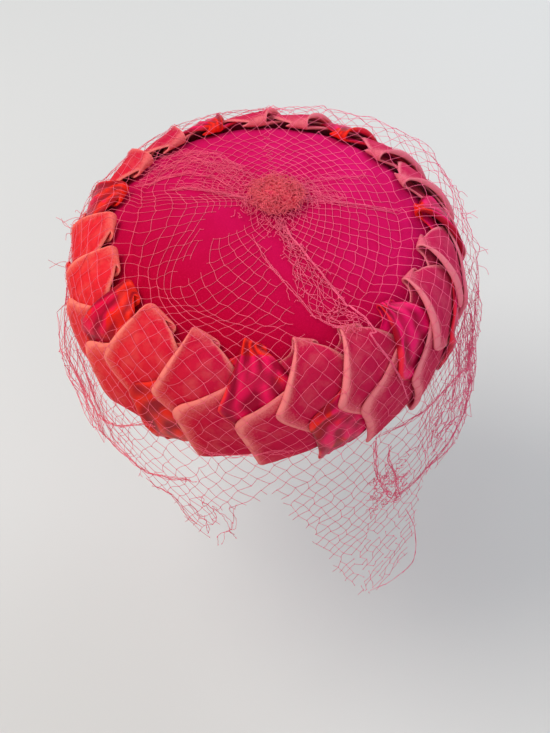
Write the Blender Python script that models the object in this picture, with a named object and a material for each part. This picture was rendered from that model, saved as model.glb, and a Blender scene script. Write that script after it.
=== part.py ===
"""A soft pillbox hat: a domed cloth crown, a thick plait of two velvet ribbons and one satin ribbon
wound round its side, and a thin net veil gathered in a puff on the top and hanging below the rim.

Frame: the origin is the middle of the head opening in the rim's plane, +Z is up, and -Y is the side
nearest the camera in the photograph. Azimuths run from -Y towards +X. Lengths below are in mm.
"""

import math

import bmesh
import bpy

for old in list(bpy.data.objects):
    bpy.data.objects.remove(old, do_unlink=True)

MM = 0.001

# Crown
HEAD_RADIUS = 91.5
RIM_WIDTH = 3.5
WALL = 2.0
SIDE_RADIUS = 109.0
DOME_RISE = 14.0
CROWN_SEGMENTS = 32
SEAM_GAP = 0.3

# Plait. A repeat is three panels in each row, one of each ribbon.
HALF_BAND = 40.0
LOWER_EDGE_Z = 1.2
REPEATS = 7
FIRST_AZIMUTH = -39.9
CLOTH = 1.6
LAYER_GAP = 0.55
BODY_GAP = 0.35

# Veil
NET_WALL = 1.0
NET_LIFT = 1.2
NET_COLUMNS = 18
NET_TURN = -6.0
NET_EYE = 9.5
HANG = 180.0
PUFF_AT = (6.0, 12.0)
PUFF_RADIUS = 17.0
PUFF_HEIGHT = 7.0
PUFF_GAP = 0.35

STRANDS = 3
PANELS = 2 * STRANDS * REPEATS
PANEL_TURN = 360.0 / PANELS
LAYER_STEP = CLOTH + LAYER_GAP
# The lowest tail lies 3.7 layers under its own head, because a ribbon dips 2 layers a pitch.
LIFT = BODY_GAP + 0.5 * CLOTH + 3.7 * LAYER_STEP
PITCH = 2 * math.pi * (SIDE_RADIUS + LIFT / 2) / (PANELS / 2)
SLOPE = LAYER_STEP / (PITCH / 2)
ROLL_RADIUS = SLOPE * 1.5 * PITCH / 2


def between(x, x0, x1, y0, y1):
    return y0 + (y1 - y0) * (x - x0) / (x1 - x0)


def look_up(table, x):
    """The second column of a table of pairs at x, on straight lines between its rows."""
    if x <= table[0][0]:
        return table[0][1]
    for (x0, y0), (x1, y1) in zip(table, table[1:]):
        if x <= x1:
            return between(x, x0, x1, y0, y1)
    return table[-1][1]


def on_ring(azimuth, r, z):
    turn = math.radians(azimuth)
    return (r * math.sin(turn), -r * math.cos(turn), z)


# The crown's side seen in section, as the lean of its outward normal along the band.
# Columns: share of HALF_BAND upwards from the middle, lean in degrees.
LEAN = (
    (-1.0, -18.0),
    (-0.6, -8.0),
    (-0.1, 0.0),
    (0.25, 14.0),
    (0.6, 38.0),
    (1.0, 62.0),
)
WALK_STEPS = 80


def walk(direction):
    """Points (share, r, z) of the side from the band's middle to one edge, with z from the middle."""
    step = HALF_BAND / WALK_STEPS
    r, z = SIDE_RADIUS, 0.0
    found = [(0.0, r, z)]
    for k in range(WALK_STEPS):
        lean = math.radians(look_up(LEAN, direction * (k + 0.5) / WALK_STEPS))
        r -= direction * step * math.sin(lean)
        z += direction * step * math.cos(lean)
        found.append((direction * (k + 1) / WALK_STEPS, r, z))
    return found


SIDE = walk(-1)[::-1] + walk(1)[1:]
SIDE_R = [(share, r) for share, r, z in SIDE]
SIDE_Z = [(share, z - SIDE[0][2] + LOWER_EDGE_Z) for share, r, z in SIDE]


def band_section(y, height):
    """(r, z) at y along the band and at a height off the crown's side; past the edges it runs straight on."""
    held = max(-HALF_BAND, min(HALF_BAND, y))
    share = held / HALF_BAND
    lean = math.radians(look_up(LEAN, share))
    r = look_up(SIDE_R, share) - (y - held) * math.sin(lean) + height * math.cos(lean)
    z = look_up(SIDE_Z, share) + (y - held) * math.cos(lean) + height * math.sin(lean)
    return r, z


EDGE_R, EDGE_Z = band_section(HALF_BAND, 0.0)

# The dome inside the band's upper edge. Columns: share of the edge's radius, share of DOME_RISE.
DOME = (
    (1.0, 0.0),
    (0.86, 0.42),
    (0.64, 0.74),
    (0.42, 0.90),
    (0.20, 0.98),
    (0.0, 1.0),
)


def dome_z(r):
    return EDGE_Z + DOME_RISE * look_up(DOME[::-1], r / EDGE_R)


def add_solid(name, points, faces, colour, roughness, sheen=0.0):
    mesh = bpy.data.meshes.new(name)
    mesh.from_pydata([tuple(c * MM for c in p) for p in points], [], faces)
    shape = bmesh.new()
    shape.from_mesh(mesh)
    bmesh.ops.recalc_face_normals(shape, faces=shape.faces)
    shape.to_mesh(mesh)
    shape.free()
    mesh.update()
    solid = bpy.data.objects.new(name, mesh)
    bpy.context.collection.objects.link(solid)
    material = bpy.data.materials.new(name)
    material.use_nodes = True
    shader = material.node_tree.nodes["Principled BSDF"]
    shader.inputs["Base Color"].default_value = (*colour, 1.0)
    shader.inputs["Roughness"].default_value = roughness
    shader.inputs["Sheen Weight"].default_value = sheen
    mesh.materials.append(material)
    return solid


# Crown: the edge turned in round the head opening, a cloth side and a domed top, which meet in seams.
OUTSIDE_STATIONS = (-0.7, -0.35, 0.0, 0.3, 0.55, 0.78, 1.0)
INSIDE_STATIONS = (-0.66, -0.2, 0.25, 0.6, 0.96)
# From the rim up to the first station. Columns: share of the way outwards, share of the way up.
FLARE_OUTSIDE = ((0.40, 0.22), (0.76, 0.58))
FLARE_INSIDE = ((0.44, 0.35), (0.76, 0.66))


def past_seam(point, station):
    """A section point moved up the crown's side by the seam's gap."""
    lean = math.radians(look_up(LEAN, station))
    return point[0] - SEAM_GAP * math.sin(lean), point[1] + SEAM_GAP * math.cos(lean)


def face_outlines(rim, inset, flare, stations):
    """Section points (r, z) of one face of the rim, the side and the top, and the z of the top's pole."""
    side = [band_section(share * HALF_BAND, -inset) for share in stations]
    first_r, first_z = side[0]
    edge = [(rim, 0.0)]
    for out, up in flare:
        edge.append((rim + (first_r - rim) * out, first_z * up))
    edge.append(side[0])
    seam_r, seam_z = side[-1]
    rise = EDGE_Z + DOME_RISE - inset - seam_z
    top = [past_seam(side[-1], 1.0)]
    top += [(seam_r * share, seam_z + rise * up) for share, up in DOME[1:-1]]
    side[0] = past_seam(side[0], OUTSIDE_STATIONS[0])
    return edge, side, top, seam_z + rise


def spin_shell(name, outer, inner, poles):
    """A shell turned round the Z axis. It ends in two poles, or else its faces meet at both ends."""
    count = CROWN_SEGMENTS
    # The flat of each facet lies on the section's line, so the plait meets the crown evenly.
    corner = 1 / math.cos(math.pi / count)
    section = outer + inner
    points = [on_ring(360.0 * k / count, r * corner, z) for r, z in section for k in range(count)]
    last_outer, last_inner = len(outer) - 1, len(section) - 1
    joints = [(row, row + 1) for row in range(last_inner) if row != last_outer]
    joints.append((0, last_outer + 1))
    if not poles:
        joints.append((last_outer, last_inner))
    faces = []
    for low, high in joints:
        for k in range(count):
            n = (k + 1) % count
            a, b = low * count, high * count
            faces.append((a + k, a + n, b + n, b + k))
    for row, top in zip((last_outer, last_inner), poles):
        pole = len(points)
        points.append((0.0, 0.0, top))
        for k in range(count):
            faces.append((row * count + k, row * count + (k + 1) % count, pole))
    add_solid(name, points, faces, (0.52, 0.0, 0.09), 0.85, 0.3)


def build_crown():
    outer = face_outlines(HEAD_RADIUS + RIM_WIDTH, 0.0, FLARE_OUTSIDE, OUTSIDE_STATIONS)
    inner = face_outlines(HEAD_RADIUS, WALL, FLARE_INSIDE, INSIDE_STATIONS)
    spin_shell("crown_rim", outer[0], inner[0], ())
    spin_shell("crown_side", outer[1], inner[1], ())
    spin_shell("crown_top", outer[2], inner[2], (outer[3], inner[3]))


build_crown()

# Plait: one ribbon crossing the band, from its visible head at one edge to its tail under the others.
# Columns: share of HALF_BAND from the middle, left and right side as shares of PITCH from the
# panel's own start, height of the soft fold along its left side and of its middle as shares of CLOTH.
CROSSING = (
    (1.0, -0.175, 0.35, 0.5, 0.5),
    (0.775, -0.29, 0.55, 1.5, 0.75),
    (0.5, -0.41, 0.77, 1.9, 0.85),
    (0.175, -0.20, 1.06, 1.35, 0.6),
    (-0.175, 0.10, 1.30, 0.5, 0.5),
    (-0.5, 0.42, 1.51, 0.5, 0.5),
    (-0.775, 0.87, 1.70, 0.5, 0.5),
    (-1.0, 1.325, 1.85, 0.5, 0.5),
)
ROLL_TURNS = (-30.0, 30.0)
# Panels that the photograph shows off the even spacing: panel, share of PITCH.
SHIFTS = {0: -0.16, 2: -0.03, 6: 0.05, 12: -0.06, 5: 0.04, 9: -0.05, 24: 0.05, 31: -0.04}


def section_of(panel, station, width):
    """Two rows (x, y, s) of one cross-section from left to right, its lower side and its upper side."""
    share, left, right, fold, middle = CROSSING[station]
    centre = (left + right) / 2
    half = (right - left) / 2 * width
    shift = SHIFTS.get(panel, 0.0) * max(0.0, share)
    x0 = (centre - half + shift) * PITCH
    x1 = (centre + half + shift * 0.5) * PITCH
    span = x1 - x0
    y = share * HALF_BAND
    lower = ((x0, -0.28), (x0 + 0.28 * span, -0.5), (x0 + 0.66 * span, -0.5), (x1, -0.25))
    upper = ((x0, 0.56 * fold), (x0 + 0.15 * span, fold), (x0 + 0.6 * span, middle), (x1, 0.25))
    return [(x, y, s * CLOTH) for x, s in lower], [(x, y, s * CLOTH) for x, s in upper]


def panel_ring(panel, station, width):
    """The eight corners of a cross-section of the ribbon where it lies flat in the plait."""
    side = 1 if panel % 2 == 0 else -1
    lower, upper = section_of(panel, station, width)
    ring = []
    for x, y, s in (lower + upper[::-1]) if side == 1 else (upper + lower[::-1]):
        azimuth = FIRST_AZIMUTH + (panel + 2 * x / PITCH) * PANEL_TURN
        ring.append(on_ring(azimuth, *band_section(side * y, LIFT - SLOPE * x + s)))
    return ring


def roll_ring(panel, turn, width):
    """A cross-section of the bend at the edge, between a panel's tail and the head that follows it."""
    side = 1 if panel % 2 == 0 else -1
    lower, upper = section_of(panel, len(CROSSING) - 1, width)
    next_lower, next_upper = section_of(panel + STRANDS, 0, width)
    share = between(turn, -90.0, 90.0, 0.0, 1.0)
    leave = (lower + upper[::-1]) if side == 1 else (upper + lower[::-1])
    arrive = (next_lower + next_upper[::-1]) if side == -1 else (next_upper + next_lower[::-1])
    ring = []
    for (x, y, s), (next_x, next_y, next_s) in zip(leave, arrive):
        at = (x - 1.5 * PITCH) * (1 - share) + next_x * share
        reach = ROLL_RADIUS - s * (1 - share) + next_s * share
        azimuth = FIRST_AZIMUTH + (panel + STRANDS + 2 * at / PITCH) * PANEL_TURN
        out = HALF_BAND + reach * math.cos(math.radians(turn))
        height = LIFT - SLOPE * at - ROLL_RADIUS + reach * math.sin(math.radians(turn))
        ring.append(on_ring(azimuth, *band_section(-side * out, height)))
    return ring


def build_strand(name, first, width, colour, roughness, sheen):
    rings = []
    for panel in range(first, PANELS, STRANDS):
        rings += [panel_ring(panel, station, width) for station in range(len(CROSSING))]
        rings += [roll_ring(panel, turn, width) for turn in ROLL_TURNS]
    corners = len(rings[0])
    faces = []
    for i in range(len(rings)):
        a, b = i * corners, (i + 1) % len(rings) * corners
        for k in range(corners):
            n = (k + 1) % corners
            faces.append((a + k, a + n, b + n, b + k))
    add_solid(name, [p for ring in rings for p in ring], faces, colour, roughness, sheen)


build_strand("plait_velvet_1", 0, 1.0, (0.60, 0.07, 0.10), 0.9, 0.6)
build_strand("plait_satin", 1, 0.86, (0.72, 0.01, 0.10), 0.35, 0.1)
build_strand("plait_velvet_2", 2, 1.0, (0.56, 0.06, 0.12), 0.9, 0.6)

# Veil: a thin wall that follows the crown and the plait and then hangs, cut through in rows of gaps.
PLAIT_TOP = LIFT + 0.82 * LAYER_STEP + 1.9 * CLOTH
ROLL_REACH = ROLL_RADIUS + 0.5 * CLOTH
# Over the crown, as shares of the edge's radius.
NET_ON_DOME = (0.42, 0.64, 0.86)
# Over the plait's upper edge. Columns: share of ROLL_REACH past the edge, share of PLAIT_TOP.
NET_ON_EDGE = ((1.30, 0.30), (1.05, 0.85))
# Down the plait's side, as shares of HALF_BAND, at the height of its tallest fold.
NET_ON_SIDE = (0.8, 0.5, 0.2, -0.1, -0.55)
# Below the plait, as shares of the way from its lower edge to the hem.
NET_SKIRT = (0.0, 0.36, 0.7, 1.0)
# How far each column hangs below the rim, from the back round by the left, as shares of HANG.
HEM = (
    (0.19, 0.21, 0.23, 0.26, 0.32)
    + (0.39, 0.42, 0.36, 0.31, 0.45)
    + (0.62, 1.00, 0.64, 0.37, 0.33)
    + (0.28, 0.23, 0.20)
)
PIERCED_ROWS = (1, 2, 9, 11, 12, 13)
# The bars down the net lean to and fro, as shares of a column's turn at each row.
NET_LEAN = (0.0, 0.0, 0.5, 0.0, 0.0, 0.0, 0.0, 0.0, 0.0, 0.0, 0.5, 0.5, 0.0, 0.5, 0.0)
# A gap's width and height, as shares of its cell.
GAP_WIDTH = 0.61
GAP_HEIGHT = 0.74


def net_section(column):
    """Section points (r, z) of the net's inner side at one column, from its eye to its hem."""
    corner = 1 / math.cos(math.pi / NET_COLUMNS)
    outline = [(NET_EYE, dome_z(NET_EYE) + NET_LIFT)]
    outline += [(share * EDGE_R, dome_z(share * EDGE_R) + NET_LIFT) for share in NET_ON_DOME]
    for past, up in NET_ON_EDGE:
        r, z = band_section(HALF_BAND + past * ROLL_REACH, up * PLAIT_TOP)
        outline.append((r, z + NET_LIFT))
    for share in NET_ON_SIDE:
        r, z = band_section(share * HALF_BAND, PLAIT_TOP + NET_LIFT)
        outline.append((r * corner, z))
    r = (SIDE_RADIUS + PLAIT_TOP + NET_LIFT) * corner
    top = LOWER_EDGE_Z - ROLL_REACH - 2 * NET_LIFT
    hem = -HANG * HEM[column % len(HEM)]
    outline += [(r * (1 - 0.02 * share), top + (hem - top) * share) for share in NET_SKIRT]
    return outline


def net_points(column):
    """The net's inner and outer points down one column."""
    outline = net_section(column)
    inner, outer = [], []
    for row, (r, z) in enumerate(outline):
        turn = math.radians(-180.0 + NET_TURN + (column + NET_LEAN[row]) * 360.0 / NET_COLUMNS)
        r0, z0 = outline[max(0, row - 1)]
        r1, z1 = outline[min(len(outline) - 1, row + 1)]
        size = math.hypot(r1 - r0, z1 - z0)
        normal_r, normal_z = (z0 - z1) / size, (r1 - r0) / size
        pull = max(0.0, 1 - r / (0.86 * EDGE_R))
        for side, thick in ((inner, 0.0), (outer, NET_WALL)):
            out = r + thick * normal_r
            x = out * math.sin(turn) + PUFF_AT[0] * pull
            y = -out * math.cos(turn) + PUFF_AT[1] * pull
            side.append((x, y, z + thick * normal_z))
    return inner, outer


def gap_corners(quad):
    """The corners of the gap cut from a cell, at shares of its width and height."""
    corners = []
    for across, down in ((-1, -1), (1, -1), (1, 1), (-1, 1)):
        u, v = 0.5 + across * GAP_WIDTH / 2, 0.5 + down * GAP_HEIGHT / 2
        shares = ((1 - u) * (1 - v), u * (1 - v), u * v, (1 - u) * v)
        corners.append(tuple(sum(w * p[i] for w, p in zip(shares, quad)) for i in range(3)))
    return corners


def build_veil():
    columns = [net_points(column) for column in range(NET_COLUMNS)]
    rows = len(columns[0][0])
    points = []
    index = {}
    for column, sides in enumerate(columns):
        for side in (0, 1):
            for row in range(rows):
                index[side, column, row] = len(points)
                points.append(sides[side][row])
    faces = []
    for column in range(NET_COLUMNS):
        beside = (column + 1) % NET_COLUMNS
        for row in range(rows - 1):
            walls = []
            for side in (0, 1):
                places = ((column, row), (beside, row), (beside, row + 1), (column, row + 1))
                corners = [index[side, c, r] for c, r in places]
                if row not in PIERCED_ROWS:
                    faces.append(tuple(corners))
                    continue
                hole = []
                for point in gap_corners([points[c] for c in corners]):
                    hole.append(len(points))
                    points.append(point)
                for k in range(4):
                    n = (k + 1) % 4
                    faces.append((corners[k], corners[n], hole[n], hole[k]))
                walls.append(hole)
            if walls:
                for k in range(4):
                    n = (k + 1) % 4
                    faces.append((walls[0][k], walls[0][n], walls[1][n], walls[1][k]))
        for row in (0, rows - 1):
            a, b = index[0, column, row], index[0, beside, row]
            c, d = index[1, beside, row], index[1, column, row]
            faces.append((a, b, c, d))
    add_solid("veil", points, faces, (0.80, 0.12, 0.20), 0.8)
    return max(outer[0][2] for inner, outer in columns)


NET_TOP = build_veil()

# The puff of gathered net that lies on the veil. Columns: share of PUFF_RADIUS, share of PUFF_HEIGHT.
PUFF = ((0.80, 0.0), (1.0, 0.28), (0.86, 0.66), (0.52, 0.93))
PUFF_COLUMNS = 12


def build_puff():
    floor = NET_TOP + PUFF_GAP
    count = PUFF_COLUMNS
    points = []
    faces = []
    for row, (share_r, share_z) in enumerate(PUFF):
        for k in range(count):
            turn = 2 * math.pi * k / count
            crumple = 1 + 0.07 * math.sin(3 * turn + row) + 0.05 * math.cos(5 * turn - row)
            lift = 1 + 0.10 * math.sin(4 * turn + 2 * row)
            r = PUFF_RADIUS * share_r * crumple
            z = floor + PUFF_HEIGHT * share_z * lift
            points.append((PUFF_AT[0] + r * math.sin(turn), PUFF_AT[1] - r * math.cos(turn), z))
    for row in range(len(PUFF) - 1):
        for k in range(count):
            n = (k + 1) % count
            a, b = row * count, (row + 1) * count
            faces.append((a + k, a + n, b + n, b + k))
    pole = len(points)
    points.append((PUFF_AT[0], PUFF_AT[1], floor + PUFF_HEIGHT))
    last = (len(PUFF) - 1) * count
    for k in range(count):
        faces.append((last + k, last + (k + 1) % count, pole))
    faces.append(tuple(range(count)))
    add_solid("veil_gather", points, faces, (0.72, 0.16, 0.16), 0.85)


build_puff()
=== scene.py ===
"""The looks of a soft pillbox hat with a plaited ribbon band and a torn net veil.

Lengths are in millimetres, turned to metres by MM where a mesh is made. Only the camera, the lamps
and the sizes in the materials are in metres. The origin is the middle of the head opening, +Z is up
and -Y is the camera's side. Azimuths run from -Y towards +X, in degrees.
"""

import math
import random

import bmesh
import bpy
import numpy as np
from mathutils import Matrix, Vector, noise
from mathutils.bvhtree import BVHTree


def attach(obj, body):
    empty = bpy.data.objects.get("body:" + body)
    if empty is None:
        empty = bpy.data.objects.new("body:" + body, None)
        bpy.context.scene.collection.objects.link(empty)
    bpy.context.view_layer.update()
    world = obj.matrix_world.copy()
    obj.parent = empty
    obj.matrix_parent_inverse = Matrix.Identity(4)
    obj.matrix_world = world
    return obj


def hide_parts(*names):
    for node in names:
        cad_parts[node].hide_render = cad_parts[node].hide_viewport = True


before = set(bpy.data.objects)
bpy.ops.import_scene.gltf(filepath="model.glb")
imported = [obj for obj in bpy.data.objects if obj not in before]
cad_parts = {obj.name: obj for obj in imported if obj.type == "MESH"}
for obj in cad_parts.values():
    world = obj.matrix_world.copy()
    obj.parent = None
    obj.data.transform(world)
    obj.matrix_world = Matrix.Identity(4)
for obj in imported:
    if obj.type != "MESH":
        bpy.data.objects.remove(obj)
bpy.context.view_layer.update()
MM = 0.001


# Camera: above the front of the hat and looking down on it, as the photograph was taken. Its place and
# lens were fitted to the photograph.
CAMERA_PLACE = (0.0, -0.53841, 0.626705)
CAMERA_WAY = (0.005692, 0.619412, -0.785046)


def add_object(name, data):
    """An object in the scene that shows the data."""
    thing = bpy.data.objects.new(name, data)
    bpy.context.scene.collection.objects.link(thing)
    return thing


camera_data = bpy.data.cameras.new("camera")
camera_data.sensor_width = 36.0
camera_data.lens = 63.85
camera = add_object("camera", camera_data)
camera.location = CAMERA_PLACE
camera.rotation_euler = Vector(CAMERA_WAY).to_track_quat("-Z", "Y").to_euler()
bpy.context.scene.camera = camera


# Crown: a low dome and a curved side of felted cloth, stretched smooth over a stiff form and turned in
# at the head opening. Painted light: it is crimson in front and pinker behind, where the cool light falls.
HEAD_RADIUS = 91.5
RIM_WIDTH = 3.5
WALL = 2.0
SIDE_RADIUS = 109.0
DOME_RISE = 14.0
HALF_BAND = 40.0
LOWER_EDGE_Z = 1.2
CROWN_SEGMENTS = 120
# The dome is drawn a little uneven above this height, as cloth over a form is.
UNEVEN_ABOVE = 60.0
UNEVEN = 0.7

# How the side's outward normal leans, at shares of HALF_BAND up from the band's middle.
LEAN_AT = (-1.0, -0.6, -0.1, 0.25, 0.6, 1.0)
LEAN_DEGREES = (-18.0, -8.0, 0.0, 14.0, 38.0, 62.0)


def walk(direction, steps=80):
    """Points (share, r, z) up or down the crown's side from the band's middle."""
    step = HALF_BAND / steps
    r, z = SIDE_RADIUS, 0.0
    found = [(0.0, r, z)]
    for k in range(steps):
        lean = math.radians(np.interp(direction * (k + 0.5) / steps, LEAN_AT, LEAN_DEGREES))
        r -= direction * step * math.sin(lean)
        z += direction * step * math.cos(lean)
        found.append((direction * (k + 1) / steps, r, z))
    return found


SIDE_AT, SIDE_R, SIDE_Z = np.array(walk(-1)[::-1] + walk(1)[1:]).T
SIDE_Z = SIDE_Z - SIDE_Z[0] + LOWER_EDGE_Z


def band_section(y, height):
    """r and z at y up the band and at a height off the crown's side; past the edges it runs straight on."""
    held = np.clip(y, -HALF_BAND, HALF_BAND)
    share = held / HALF_BAND
    lean = np.radians(np.interp(share, LEAN_AT, LEAN_DEGREES))
    r = np.interp(share, SIDE_AT, SIDE_R) - (y - held) * np.sin(lean) + height * np.cos(lean)
    z = np.interp(share, SIDE_AT, SIDE_Z) + (y - held) * np.cos(lean) + height * np.sin(lean)
    return r, z


EDGE_R, EDGE_Z = band_section(HALF_BAND, 0.0)


def dome_z(r):
    """Height of the dome's cloth at radius r."""
    share = np.minimum(1.0, np.abs(r) / EDGE_R)
    return EDGE_Z + DOME_RISE * (1 - share**2.75) ** 0.86


def on_ring(azimuth, r, z):
    """Points at azimuths in degrees, as an array of x, y and z."""
    turn = np.radians(azimuth)
    return np.stack(np.broadcast_arrays(r * np.sin(turn), -r * np.cos(turn), z), axis=-1)


def make_mesh(name, points, faces, edges=()):
    """A mesh object from points in millimetres, at the origin."""
    mesh = bpy.data.meshes.new(name)
    mesh.from_pydata((np.asarray(points) * MM).tolist(), list(edges), list(faces))
    mesh.update()
    return add_object(name, mesh)


def ring_faces(rows, count, closed=False):
    """Faces between rows of count points each. If closed, the last row joins the first."""
    faces = []
    for row in range(rows if closed else rows - 1):
        a, b = row * count, (row + 1) % rows * count
        for k in range(count):
            n = (k + 1) % count
            faces.append((a + k, a + n, b + n, b + k))
    return faces


def shade_smooth(piece):
    piece.data.polygons.foreach_set("use_smooth", [True] * len(piece.data.polygons))


def close_mesh(piece):
    """Merge a mesh's doubled points at its poles, turn its faces outwards and smooth its shading."""
    shape = bmesh.new()
    shape.from_mesh(piece.data)
    bmesh.ops.remove_doubles(shape, verts=shape.verts, dist=0.01 * MM)
    bmesh.ops.recalc_face_normals(shape, faces=shape.faces)
    shape.to_mesh(piece.data)
    shape.free()
    shade_smooth(piece)


def crown_section():
    """Section points from the pole down the outside, round the rim and up the inside to the pole."""
    shares = np.linspace(0, 1, 30) ** 0.8
    outside = list(zip(shares * EDGE_R, dome_z(shares * EDGE_R)))
    outside += list(zip(*band_section(np.linspace(0.94, -0.7, 22) * HALF_BAND, 0.0)))
    foot_r, foot_z = outside[-1]
    rim = HEAD_RADIUS + RIM_WIDTH
    for out, up in ((0.9, 0.78), (0.76, 0.58), (0.58, 0.38), (0.40, 0.22), (0.2, 0.08), (0.0, 0.0)):
        outside.append((rim + (foot_r - rim) * out, foot_z * up))
    inside = []
    for k, (r, z) in enumerate(outside):
        r0, z0 = outside[max(0, k - 1)]
        r1, z1 = outside[min(len(outside) - 1, k + 1)]
        size = math.hypot(r1 - r0, z1 - z0)
        inside.append((max(0.0, r + (z1 - z0) / size * WALL), z - (r1 - r0) / size * WALL))
    inside[0] = (0.0, outside[0][1] - WALL)
    inside = [(r, max(z, 0.0)) for r, z in inside if r < 108]
    inside[-1] = (HEAD_RADIUS, 0.0)
    return outside + inside[::-1]


def build_crown():
    section = crown_section()
    points = []
    for r, height in section:
        for x, y, z in on_ring(np.arange(CROWN_SEGMENTS) * 360.0 / CROWN_SEGMENTS, r, height):
            wave = noise.noise(Vector((x, y, z)) * 0.03) * UNEVEN * min(1.0, r / 30)
            points.append((x, y, z + wave if z > UNEVEN_ABOVE else z))
    piece = make_mesh("crown_cloth", points, ring_faces(len(section), CROWN_SEGMENTS))
    close_mesh(piece)
    return piece


def add_node(tree, kind, values=(), **settings):
    """A node with its settings and its inputs, each a value or another node's socket."""
    node = tree.nodes.new(kind)
    for key, value in settings.items():
        setattr(node, key, value)
    for key, value in dict(values).items():
        if isinstance(value, bpy.types.NodeSocket):
            tree.links.new(value, node.inputs[key])
        else:
            node.inputs[key].default_value = value
    return node


def calculate(tree, operation, *values, clamp=False):
    """The result of a Math node over values or sockets."""
    node = add_node(tree, "ShaderNodeMath", enumerate(values), operation=operation, use_clamp=clamp)
    return node.outputs[0]


def map_range(tree, value, start, end, top):
    """A mask of 0 where the value is start or less, and of top where it is end or more."""
    return add_node(tree, "ShaderNodeMapRange", {0: value, 1: start, 2: end, 3: 0.0, 4: top}).outputs[0]


def mix_colours(tree, factor, first, second):
    """A colour mix. Each of the three may be a socket, or a number or colour."""
    return add_node(tree, "ShaderNodeMix", {0: factor, 6: first, 7: second}, data_type="RGBA").outputs[2]


def speckle(tree, scale, detail, roughness=0.5):
    """Noise all over the hat, at a scale in cells for each metre."""
    place = add_node(tree, "ShaderNodeTexCoord").outputs["Object"]
    values = {"Vector": place, "Scale": scale, "Detail": detail, "Roughness": roughness}
    return add_node(tree, "ShaderNodeTexNoise", values).outputs["Fac"]


def new_group(name, inputs, outputs):
    """A shader node group whose inputs are given as (name, value) and its outputs by name."""
    group = bpy.data.node_groups.new(name, "ShaderNodeTree")
    for label, value in inputs:
        socket = group.interface.new_socket(label, in_out="INPUT", socket_type="NodeSocketFloat")
        socket.default_value = value
    for label in outputs:
        group.interface.new_socket(label, in_out="OUTPUT", socket_type="NodeSocketFloat")
    return group, group.nodes.new("NodeGroupInput").outputs, group.nodes.new("NodeGroupOutput").inputs


def build_nap_group():
    """Short fibres: a fine mask, which is also the bump's height, and a broad mask."""
    group, given, out = new_group("nap", (("Fibre size", 0.0006), ("Drift size", 0.03)), ("Fine", "Broad"))
    for mask, size, detail in (("Fine", "Fibre size", 3.0), ("Broad", "Drift size", 4.0)):
        group.links.new(speckle(group, calculate(group, "DIVIDE", 1.0, given[size]), detail, 0.6), out[mask])
    return group


def build_painted_light_group():
    """A mask that grows from the hat's front left towards its back right, for a painted tint of the cool
    light there.
    """
    group, given, out = new_group("painted light side", (("Across", 4.0), ("Back", 4.0), ("Start", 0.5)), ("Mask",))
    place = add_node(group, "ShaderNodeTexCoord").outputs["Object"]
    x, y, _ = add_node(group, "ShaderNodeSeparateXYZ", {0: place}).outputs
    across = calculate(group, "MULTIPLY", x, given["Across"])
    back = calculate(group, "MULTIPLY", y, given["Back"])
    both = calculate(group, "ADD", across, back)
    group.links.new(calculate(group, "ADD", both, given["Start"], clamp=True), out["Mask"])
    return group


NAP = build_nap_group()
PAINTED_LIGHT_GROUP = build_painted_light_group()


def nap_masks(tree, fibre, drift):
    """The nap's fine and broad masks, for fibres and drifts of these sizes."""
    values = {"Fibre size": fibre, "Drift size": drift}
    nap = add_node(tree, "ShaderNodeGroup", values, node_tree=NAP)
    return nap.outputs["Fine"], nap.outputs["Broad"]


# Painted light: colours mixed by this mask are tinted for the cool light at the back right, and, with its
# signs turned, for the warm light at the left.
def painted_light_mask(tree, across=4.5, back=1.5, start=0.5):
    values = {"Across": across, "Back": back, "Start": start}
    return add_node(tree, "ShaderNodeGroup", values, node_tree=PAINTED_LIGHT_GROUP).outputs["Mask"]


def new_finish(name, roughness, specular, sheen, sheen_tint, sheen_roughness):
    """A material, its node tree and its Principled shader."""
    finish = bpy.data.materials.new(name)
    finish.use_nodes = True
    shader = finish.node_tree.nodes["Principled BSDF"]
    for key, value in (
        ("Roughness", roughness), ("Specular IOR Level", specular), ("Sheen Weight", sheen),
        ("Sheen Tint", (*sheen_tint, 1.0)), ("Sheen Roughness", sheen_roughness),
    ):
        shader.inputs[key].default_value = value
    return finish, finish.node_tree, shader


def link_finish(tree, shader, colour, height=None, strength=0.0, distance=0.0):
    """Give the shader its colour, and a bump of a height where there is one."""
    tree.links.new(colour, shader.inputs["Base Color"])
    if height is not None:
        values = {"Height": height, "Strength": strength, "Distance": distance}
        tree.links.new(add_node(tree, "ShaderNodeBump", values).outputs[0], shader.inputs["Normal"])


def build_crown_finish():
    finish, tree, shader = new_finish("felted_cloth", 0.92, 0.03, 0.22, (1.0, 0.05, 0.25), 0.45)
    fine, broad = nap_masks(tree, 0.0009, 0.035)
    # Painted light: crimson at the front left, lighter and pinker towards the back right, where the cool
    # light and the sheen fall.
    base = mix_colours(tree, painted_light_mask(tree, 3.6, 5.0), (0.40, 0.0, 0.019, 1), (0.62, 0.006, 0.135, 1))
    drifted = mix_colours(tree, map_range(tree, broad, 0.35, 0.65, 0.35), base, (0.36, 0.0, 0.02, 1))
    colour = mix_colours(tree, map_range(tree, fine, 0.52, 0.78, 0.3), drifted, (0.78, 0.008, 0.09, 1))
    link_finish(tree, shader, colour, fine, 0.35, 0.0004)
    return finish


def join_hat(piece, slot, *nodes):
    """Name the piece's body and the CAD nodes that it stands for. The slot is not used."""
    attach(piece, "root")
    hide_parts(*nodes)


crown_cloth = build_crown()
crown_cloth.data.materials.append(build_crown_finish())
join_hat(crown_cloth, "crown", "crown_rim", "crown_side", "crown_top")


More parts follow.
